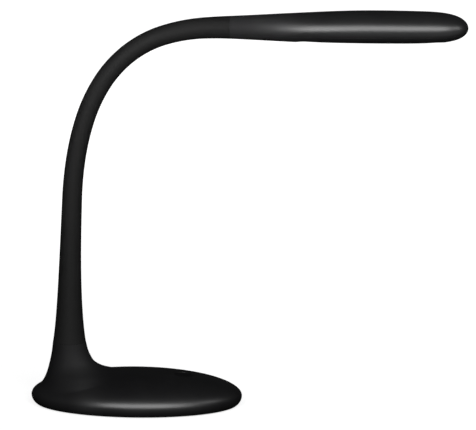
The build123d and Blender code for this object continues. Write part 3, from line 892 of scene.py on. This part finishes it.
# power inlet in the rear of the rim: a moulded barrel with its contacts

def lathe(name, profile, turns, at):
    # spins (distance along X, radius) points about a line along X
    rows = [[(x, at[1] + r * math.cos(t), at[2] + r * math.sin(t)) for t in circle(turns)] for x, r in profile]
    return sheetOf(name, rows, closed=True)


def makeInlet():
    mouth, z = inlet["mouth"], inlet["z"]
    floorX = mouth + inlet["depth"]
    profile = [
        (inlet["body"], inlet["nose"]),
        (mouth + 0.35, inlet["nose"]),
        (mouth + 0.1, inlet["nose"] - 0.1),
        (mouth, inlet["nose"] - 0.35),
        (mouth, inlet["bore"] + 0.3),
        (mouth + 0.3, inlet["bore"]),
        (floorX, inlet["bore"]),
        (floorX, 0.0),
    ]
    mesh = lathe("powerInlet", profile, 48, (0, 0, z))
    sheet = bmesh.new()
    sheet.from_mesh(mesh)
    collar = [e for e in sheet.edges if e.is_boundary]
    half = inlet["bodyWidth"] / 2
    low = Vector((inlet["body"], -half, z - half)) * mm
    high = Vector((inlet["body"] + inlet["bodyLength"], half, z + half)) * mm
    spread = Matrix.Translation((low + high) / 2) @ Matrix.Diagonal((*(high - low), 1))
    block = bmesh.ops.create_cube(sheet, size=1.0, matrix=spread)
    edges = [e for e in sheet.edges if e.verts[0] in block["verts"]]
    bmesh.ops.bevel(sheet, geom=edges, offset=inlet["softEdge"] * mm, segments=2, profile=0.5, affect="EDGES")

    # the barrel grows out of the block's front face
    front = max(
        (f for f in sheet.faces if all(abs(v.co.x - low.x) < 0.01 * mm for v in f.verts)), key=lambda f: f.calc_area()
    )
    rim = list(front.edges)
    bmesh.ops.delete(sheet, geom=[front], context="FACES_ONLY")
    bmesh.ops.bridge_loops(sheet, edges=collar + rim)
    sheet.to_mesh(mesh)
    sheet.free()
    faceOutwards(mesh)
    barrel = makePiece("powerInlet", mesh, finishes["mouldedEpoxyPart"])
    smooth(barrel.data)
    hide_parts("power_inlet")
    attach(barrel, "base")

    tip = mouth + 1.0
    profile = [
        (tip, 0.0),
        (tip, 0.55),
        (tip + 0.2, 0.85),
        (tip + 0.5, inlet["pin"]),
        (floorX, inlet["pin"]),
        (floorX, 0.0),
    ]
    pin = makePiece("inletPin", lathe("inletPin", profile, 24, (0, 0, z)), finishes["nickelPlatedSteel"])
    faceOutwards(pin.data)
    smooth(pin.data)
    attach(pin, "base")


makeInlet()
print("button and inlet made")


# head: an upper and a lower moulded half, round at the neck and oval along its length

head = {
    "length": 225.0,
    "halfHeight": 15.5,
    "widening": 1.5,
    "wideningRun": 110.0,
    "peak": 140.0,
    "risePower": 1.15,
    "fall": 0.1,
    "tipPower": 6.5,
    "bow": 0.4,  # slight arch of the centre line, then a droop to the tip
    "bowStart": 60.0,
    "bowEnd": 190.0,
    "droop": 0.75,
    "split": -6.0,  # height of the parting line below the axis
    "wall": 2.0,
    "mouth": 6.4,  # hole in the collar for the gooseneck
    "columns": 72,
    "step": 2.0,  # section spacing, with closer sections at the tip
    "tipRows": 34,
    "softEdge": 0.2,
}
window = {
    "start": 60.0,
    "end": 205.0,
    "halfWidth": 12.0,
    "face": -9.6,  # height of the diffuser's face
    "step": 1.5,  # section spacing up to the window
    "endRows": 14,  # sections round each end
    "rows": 60,
    "wallRows": 3,
}
caseScrews = [(36.0, 8.5), (36.0, -8.5), (214.0, 0.0)]
collarScrewX = 9.1
recess = {"radius": 2.7, "edgeMargin": 0.6, "turns": 32}  # where a screw's head sits

headEnd, headWay = neckPlace(neckLength)
headUp = Vector((-headWay.z, 0, headWay.x))
headPlace = Matrix((
    (headWay.x, 0, headUp.x, headEnd.x * mm),
    (headWay.y, 1, headUp.y, headEnd.y * mm),
    (headWay.z, 0, headUp.z, headEnd.z * mm),
    (0, 0, 0, 1),
))
sleeveEnd = neck["radius"] + neck["headFlare"]


def headSize(x):
    # half-height and half-width of the oval section
    if x <= head["peak"]:
        rise = math.sin(math.pi / 2 * max(x, 0.0) / head["peak"]) ** head["risePower"]
        high = sleeveEnd + (head["halfHeight"] - sleeveEnd) * rise
    else:
        share = min(1.0, (x - head["peak"]) / (head["length"] - head["peak"]))
        high = head["halfHeight"] * (1 - head["fall"] * share ** 2) * math.sqrt(1 - share ** head["tipPower"])
    wide = 1 + (head["widening"] - 1) * math.sin(math.pi / 2 * min(1.0, x / head["wideningRun"]))
    return high, high * wide


def headRise(x):
    # how far the section's centre lies above the straight axis
    if x <= head["bowStart"]:
        return 0.0
    if x <= head["bowEnd"]:
        return head["bow"] * math.sin(math.pi * (x - head["bowStart"]) / (head["bowEnd"] - head["bowStart"])) ** 2
    return -head["droop"] * ((x - head["bowEnd"]) / (head["length"] - head["bowEnd"])) ** 2


def headStations():
    start, rows = head["bowEnd"], head["tipRows"]
    tip = [start + (head["length"] - start) * math.sin(math.pi / 2 * i / rows) for i in range(rows + 1)]
    return [head["step"] * i for i in range(round(start / head["step"]))] + tip


def splitAngle(high, rise):
    # where the section meets the parting line
    return math.asin(max(-1.0, (head["split"] - rise) / max(high, 1e-6)))


def makeHeadTop():
    columns = head["columns"]
    rows = []
    for x in [None] + headStations():
        high, wide = headSize(x or 0.0)
        rise = headRise(x or 0.0)
        low = splitAngle(high, rise)
        angles = [low + (math.pi - 2 * low) * c / columns for c in range(columns + 1)]
        if x is None:
            rows.append([(0.0, head["mouth"] * math.cos(t), head["mouth"] * math.sin(t)) for t in angles])
        else:
            rows.append([(x, wide * math.cos(t), rise + high * math.sin(t)) for t in angles])
    mesh = sheetOf("headTop", rows, closed=False)
    finishHalf("headTop", mesh, (110, 0, 100), "head_top")


def finishHalf(name, mesh, outside, node):
    turnOut(mesh, outside)
    piece = makePiece(name, mesh, finishes["satinMouldedHead"])
    giveWall(piece, head["wall"], head["softEdge"], 2)
    piece.data.transform(headPlace)
    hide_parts(node)
    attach(piece, "head")


def windowHalf(x):
    # half-width of the light opening, round at both ends
    radius = window["halfWidth"]
    into = min(x - window["start"], window["end"] - x)
    if into <= 0:
        return 0.0
    return radius if into >= radius else math.sqrt(radius ** 2 - (radius - into) ** 2)


def makeHeadBottom():
    radius, count, wallRows = window["halfWidth"], window["endRows"], window["wallRows"]
    start, end = window["start"], window["end"]
    lead = [radius * (1 - math.cos(math.pi / 2 * i / count)) for i in range(count)]
    stations = [window["step"] * i for i in range(round(start / window["step"]))] + [start + d for d in lead]
    count = window["rows"]
    stations += [start + radius + (end - start - 2 * radius) * i / count for i in range(count + 1)]
    stations += [end - d for d in reversed(lead)]
    stations += [x for x in headStations() if x > end + 0.5]
    stations = [x for x in stations if headSize(x)[0] - headRise(x) > -head["split"]]
    columns = head["columns"] // 3
    edges = []
    for side in (1, -1):
        rows = []
        for x in [None] + stations:
            high, wide = headSize(x or 0.0)
            rise = headRise(x or 0.0)
            outer = math.pi / 2 + splitAngle(high, rise)
            inner = 0.0 if x is None else math.asin(windowHalf(x) / wide)
            angles = [outer + (inner - outer) * c / columns for c in range(columns + 1)]
            if x is None:
                rows.append([(0.0, side * head["mouth"] * math.sin(t), -head["mouth"] * math.cos(t)) for t in angles])
            else:
                row = [(x, side * wide * math.sin(t), rise - high * math.cos(t)) for t in angles]
                drop = row[-1][2]
                row += [
                    (x, row[-1][1], drop + (window["face"] - drop) * i / wallRows) for i in range(1, wallRows + 1)
                ]
                rows.append(row)
        rows[0] += [rows[0][-1]] * wallRows
        edges.append(rows)
    count = len(edges[0][0])
    points, faces = [], []
    for rows in edges:
        offset = len(points)
        points += [p for row in rows for p in row]
        for r in range(len(rows) - 1):
            walled = start <= rows[r][0][0] and rows[r + 1][0][0] <= end
            for c in range(count - 1 if walled else columns):
                quad = [offset + r * count + c, offset + r * count + c + 1, offset + (r + 1) * count + c + 1,
                        offset + (r + 1) * count + c]
                faces.append(quad if rows is edges[0] else quad[::-1])
    mesh = meshFrom("headBottom", points, faces)
    radius = recess["radius"]
    for x, y in caseScrews + [(collarScrewX, 0.0)]:
        ring = []
        for t in circle(recess["turns"]):
            px, py = x + radius * math.cos(t), y + radius * math.sin(t)
            high, wide = headSize(px)
            ring.append((px, py, headRise(px) - high * math.sqrt(1 - (py / wide) ** 2)))
        openHole(mesh, lambda p: math.hypot(p.x - x, p.y - y), radius, recess["edgeMargin"], ring)
    finishHalf("headBottom", mesh, (30, 0, -100), "head_bottom")


makeHeadTop()
makeHeadBottom()
print("head shells made")


# screws

screw = {
    "head": 2.5,
    "rise": 1.5,
    "shank": 1.4,
    "slot": 0.55,
    "slotReach": 1.45,
    "slotDepth": 0.8,
    "turns": 32,
    "shankTurns": 20,
}
# where each set's head faces lie, in the frame of its body at rest: the head's own axis for those that ride on it
screwSets = {
    "baseScrews": {
        "node": "base_screws", "body": "base", "x": (-66, 66), "y": (-34, 34), "z": 1.6, "shank": 7.9,
    },
    "ballastScrews": {
        "node": "weight_screws", "body": "base", "x": (-32, 32), "y": (-24, 24), "z": 1.6, "shank": 6.7,
    },
    "boardScrews": {
        "node": "board_screws", "body": "base", "x": (24.5, 65.5), "y": (-13.5, 13.5), "z": 16.0, "shank": 5.1,
    },
    "caseScrews": {"node": "head_screws", "body": "head", "shank": 10.5, "finish": "blackPassivatedZinc"},
    "diodeBoardScrews": {
        "node": "led_screws", "body": "head", "x": (65.8, 132.5, 199.2), "y": (0,), "z": -2.5, "shank": 7.1,
    },
    "collarScrew": {
        "node": "ferrule_screw", "body": "head", "x": (collarScrewX,), "y": (0,), "z": -10.4, "shank": 2.5,
        "finish": "blackPassivatedZinc",
    },
}


def makeScrewPattern():
    # a pan head with a cross recess, its face looking down at z = 0
    top, radius = screw["rise"], screw["head"]
    profile = [(0.0, 0.01), (0.0, 1.3), (0.12, 1.75), (0.38, 2.15), (0.75, 2.4), (1.1, radius)]
    profile += [(top, radius), (top, 0.01)]
    rows = [[(r * math.cos(t), r * math.sin(t), z) for t in circle(screw["turns"])] for z, r in profile]
    mesh = sheetOf("screwPattern", rows, closed=True)
    closeEnds(mesh)
    faceOutwards(mesh)
    pattern = makePiece("screwPattern", mesh)
    cross = bpy.data.meshes.new("crossRecess")
    sheet = bmesh.new()
    for turn in (0, math.pi / 2):
        arm = Matrix.Rotation(turn, 4, "Z") @ Matrix.Diagonal(
            (2 * screw["slotReach"] * mm, screw["slot"] * mm, 2 * screw["slotDepth"] * mm, 1))
        bmesh.ops.create_cube(sheet, size=1.0, matrix=arm)
    sheet.to_mesh(cross)
    sheet.free()
    cutter = makePiece("crossRecess", cross)
    cut = pattern.modifiers.new("recess", "BOOLEAN")
    cut.object = cutter
    cut.operation = "DIFFERENCE"
    cut.solver = "EXACT"
    cut.use_self = True
    bake(pattern)
    bpy.data.objects.remove(cutter)
    return pattern


def screwTree(pattern):
    # a screw at every point, each a head and a shank
    tree, given = newTree("panHeadScrews", ["Shank radius", "Shank length", "Head height"])
    size = given.outputs
    headShape = addNode(tree, "GeometryNodeObjectInfo", {"transform_space": "ORIGINAL"}, {"Object": pattern})
    shank = addNode(
        tree,
        "GeometryNodeMeshCylinder",
        inputs={"Vertices": screw["shankTurns"], "Radius": size["Shank radius"], "Depth": size["Shank length"]},
    ).outputs[0]
    half = addNode(
        tree, "ShaderNodeMath", {"operation": "MULTIPLY_ADD"}, {0: size["Shank length"], 1: 0.5, 2: size["Head height"]}
    ).outputs[0]
    lift = addNode(tree, "ShaderNodeCombineXYZ", inputs={"Z": half}).outputs[0]
    shank = addNode(tree, "GeometryNodeTransform", inputs={"Geometry": shank, "Translation": lift}).outputs[0]
    whole = addNode(tree, "GeometryNodeJoinGeometry").inputs[0]
    tree.links.new(headShape.outputs["Geometry"], whole)
    tree.links.new(shank, whole)
    placed = addNode(
        tree,
        "GeometryNodeInstanceOnPoints",
        inputs={"Points": size["Geometry"], "Instance": whole.node.outputs[0]},
    ).outputs[0]
    endTree(tree, placed, given)
    return tree


def makeScrews():
    pattern = makeScrewPattern()
    tree = screwTree(pattern)
    for name, group in screwSets.items():
        if name == "caseScrews":  # these sit on the inside of the shell's wall
            places = [(x, y, headRise(x) - headSize(x)[0] + head["wall"]) for x, y in caseScrews]
        else:
            places = [(x, y, group["z"]) for x in group["x"] for y in group["y"]]
        piece = growPiece(name, places, tree, {
            "Shank radius": screw["shank"] * mm,
            "Shank length": group["shank"] * mm,
            "Head height": screw["rise"] * mm,
            "Material": finishes[group.get("finish", "zincPlatedSteel")],
        })
        if group["body"] == "head":
            piece.data.transform(headPlace)
        smooth(piece.data)
        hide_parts(group["node"])
        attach(piece, group["body"])
    bpy.data.objects.remove(pattern)


makeScrews()
print("screws placed")


# carried-over solids

nodeFinishes = {
    "base_cover": "satinMouldedAbs",
    "head_top": "satinMouldedHead",
    "head_bottom": "satinMouldedHead",
    "power_button": "satinAbsButton",
    "base_plate": "texturedMouldedAbs",
    "base_weight": "millScaleSteel",
    "foot_mat": "gripRubber",
    "base_screws": "zincPlatedSteel",
    "weight_screws": "zincPlatedSteel",
    "board_screws": "zincPlatedSteel",
    "led_screws": "zincPlatedSteel",
    "head_screws": "blackPassivatedZinc",
    "ferrule_screw": "blackPassivatedZinc",
    "control_board": "greenGlassEpoxy",
    "board_parts": "mouldedEpoxyPart",
    "tact_switch": "mouldedEpoxyPart",
    "power_inlet": "mouldedEpoxyPart",
    "inlet_lead": "softPvc",
    "neck_ferrule_lower": "nickelPlatedSteel",
    "neck_ferrule_upper": "nickelPlatedSteel",
    "neck_washer": "zincPlatedSteel",
    "neck_nut": "nickelPlatedSteel",
    "diffuser": "frostedOpalAcrylic",
    "led_board": "whiteSolderMask",
    "led_chips": "phosphorGel",
    "heat_spreader": "rolledAluminium",
}
neckFinishes = {"neck_sleeve_": "mattSiliconeRubber", "neck_core_": "woundSpringSteel", "neck_lead_": "softPvc"}
for name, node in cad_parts.items():
    finish = nodeFinishes.get(name) or next(f for start, f in neckFinishes.items() if name.startswith(start))
    node.data.materials.clear()
    node.data.materials.append(finishes[finish])
print("solids given their finishes")


# floor, lamps and camera

stage = {
    "floorReach": 30.0,
    "floorColour": "#9c9c9c",  # the glow brings it up to white
    "nearGlow": 0.8,
    "farGlow": 1.0,
    "glowFrom": 0.25,  # metres from the base where the glow starts to rise
    "glowTo": 0.8,
    "bounceColour": "#141414",  # what the floor throws back on to the lamp
    "cardGlow": 0.34,  # a pale card on the table in front lights the lamp from below
    "cardNear": (-0.12, -0.3),  # metres along Y where it fades in and out
    "cardFar": (-1.4, -1.0),
    "cardSide": (0.05, 0.2),  # metres along X where it fades in, under the head only
    "skyForMirrors": 0.003,  # dim in mirrors, so that black plastic stays black
    "fill": 0.005,
}


def makeFloor():
    reach = stage["floorReach"]
    mesh = bpy.data.meshes.new("floor")
    corners = [(-reach, -reach, 0), (reach, -reach, 0), (reach, reach, 0), (-reach, reach, 0)]
    mesh.from_pydata(corners, [], [(0, 1, 2, 3)])
    material = bpy.data.materials.new("paleStudioFloor")
    material.use_nodes = True
    tree = material.node_tree
    tree.nodes.clear()
    seen = addNode(tree, "ShaderNodeLightPath").outputs["Is Camera Ray"]
    colour = addNode(
        tree,
        "ShaderNodeMix",
        {"data_type": "RGBA"},
        {"Factor": seen, "A": toLinear(stage["bounceColour"]), "B": toLinear(stage["floorColour"])},
    ).outputs[2]
    paint = addNode(tree, "ShaderNodeBsdfDiffuse", inputs={"Color": colour}).outputs[0]
    place = addNode(tree, "ShaderNodeTexCoord").outputs["Object"]
    away = addNode(tree, "ShaderNodeVectorMath", {"operation": "LENGTH"}, {0: place}).outputs["Value"]
    glow = addNode(
        tree,
        "ShaderNodeMapRange",
        {"interpolation_type": "SMOOTHSTEP"},
        {
            "Value": away,
            "From Min": stage["glowFrom"],
            "From Max": stage["glowTo"],
            "To Min": stage["nearGlow"],
            "To Max": stage["farGlow"],
        },
    ).outputs[0]
    along = addNode(tree, "ShaderNodeSeparateXYZ", inputs={0: place}).outputs
    card = stage["cardGlow"]
    for axis, edge in (("Y", "cardNear"), ("Y", "cardFar"), ("X", "cardSide")):
        fade = addNode(
            tree,
            "ShaderNodeMapRange",
            {"interpolation_type": "SMOOTHSTEP"},
            {"Value": along[axis], "From Min": stage[edge][0], "From Max": stage[edge][1]},
        ).outputs[0]
        card = addNode(tree, "ShaderNodeMath", {"operation": "MULTIPLY"}, {0: fade, 1: card}).outputs[0]
    strength = addNode(
        tree, "ShaderNodeMix", {"data_type": "FLOAT"}, {"Factor": seen, 2: card, 3: glow}
    ).outputs[0]
    glow = addNode(tree, "ShaderNodeEmission", inputs={"Color": (1, 1, 1, 1), "Strength": strength}).outputs[0]
    both = addNode(tree, "ShaderNodeAddShader", inputs={0: paint, 1: glow}).outputs[0]
    addNode(tree, "ShaderNodeOutputMaterial", inputs={"Surface": both})
    floor = makePiece("floor", mesh, material)


def makeSky():
    # white behind the part, faint in mirrors, and a plain low fill for the rest
    world = bpy.data.worlds.new("studio")
    scene.world = world
    world.use_nodes = True
    tree = world.node_tree
    tree.nodes.clear()
    path = addNode(tree, "ShaderNodeLightPath")
    mirrored = addNode(
        tree, "ShaderNodeMath", {"operation": "MULTIPLY"}, {0: path.outputs["Is Glossy Ray"], 1: stage["skyForMirrors"]}
    ).outputs[0]
    direct = addNode(
        tree,
        "ShaderNodeMath",
        {"operation": "MAXIMUM"},
        {0: path.outputs["Is Camera Ray"], 1: path.outputs["Is Transmission Ray"]},
    ).outputs[0]
    white = addNode(tree, "ShaderNodeMath", {"operation": "ADD"}, {0: mirrored, 1: direct}).outputs[0]
    fill = addNode(
        tree, "ShaderNodeMath", {"operation": "MULTIPLY"}, {0: path.outputs["Is Diffuse Ray"], 1: stage["fill"]}
    ).outputs[0]
    total = addNode(tree, "ShaderNodeMath", {"operation": "ADD"}, {0: white, 1: fill}).outputs[0]
    sky = addNode(tree, "ShaderNodeBackground", inputs={"Color": (1, 1, 1, 1), "Strength": total}).outputs[0]
    addNode(tree, "ShaderNodeOutputWorld", inputs={"Surface": sky})


def addSoftbox(name, aim, azimuth, elevation, distance, width, height, power, spread=180):
    # a square lamp that faces the aim from a direction: azimuth 0 is in front (-Y), 90 is at +X
    a, e = math.radians(azimuth), math.radians(elevation)
    away = Vector((math.sin(a) * math.cos(e), -math.cos(a) * math.cos(e), math.sin(e)))
    lamp = bpy.data.lights.new(name, "AREA")
    lamp.shape = "RECTANGLE"
    lamp.size = width
    lamp.size_y = height
    lamp.energy = power
    lamp.spread = math.radians(spread)
    box = bpy.data.objects.new(name, lamp)
    box.location = Vector(aim) + away * distance
    box.rotation_euler = away.to_track_quat("Z", "Y").to_euler()
    scene.collection.objects.link(box)
    return box


lamps = {
    "frontSoftbox": {
        "aim": (0.1, 0, 0.2), "azimuth": 4, "elevation": 28, "distance": 5.0, "width": 5.5, "height": 3.6,
        "power": 460,
    },
    "bendSoftbox": {  # gridded, so that it reaches the neck's bend and not the base
        "aim": (-0.01, 0, 0.35), "azimuth": -14, "elevation": 8, "distance": 0.5, "width": 0.3, "height": 0.2,
        "power": 0.35, "spread": 55,
    },
    "sideSoftbox": {  # a line of light round the head's tip
        "aim": (0.3, 0, 0.37), "azimuth": 62, "elevation": 25, "distance": 0.6, "width": 0.3, "height": 0.3,
        "power": 1.1,
    },
}
makeFloor()
makeSky()
for name, lamp in lamps.items():
    addSoftbox(name, **lamp)

view = {
    "turn": 4.3,  # degrees the camera stands to the right of square-on
    "rise": 13.0,  # degrees it looks down
    "lens": 1200.0,  # long, for a nearly flat view
    "across": 0.4524,  # metres across the frame at the part
    "aimRight": 0.09628,
    "aimUp": 0.1798,
}


def makeCamera():
    a, e = math.radians(view["turn"]), math.radians(view["rise"])
    right = Vector((math.cos(a), math.sin(a), 0))
    back = Vector((math.sin(a) * math.cos(e), -math.cos(a) * math.cos(e), math.sin(e)))
    up = back.cross(right)
    camera = bpy.data.cameras.new("camera")
    camera.lens = view["lens"]
    camera.sensor_width = 36.0
    camera.sensor_fit = "HORIZONTAL"
    camera.clip_end = 100.0
    stand = bpy.data.objects.new("camera", camera)
    distance = view["across"] * view["lens"] / camera.sensor_width
    spot = right * view["aimRight"] + up * view["aimUp"] + back * distance
    stand.matrix_world = Matrix((
        (right.x, up.x, back.x, spot.x),
        (right.y, up.y, back.y, spot.y),
        (right.z, up.z, back.z, spot.z),
        (0, 0, 0, 1),
    ))
    scene.collection.objects.link(stand)
    scene.camera = stand


makeCamera()
print("floor, lamps and camera placed")
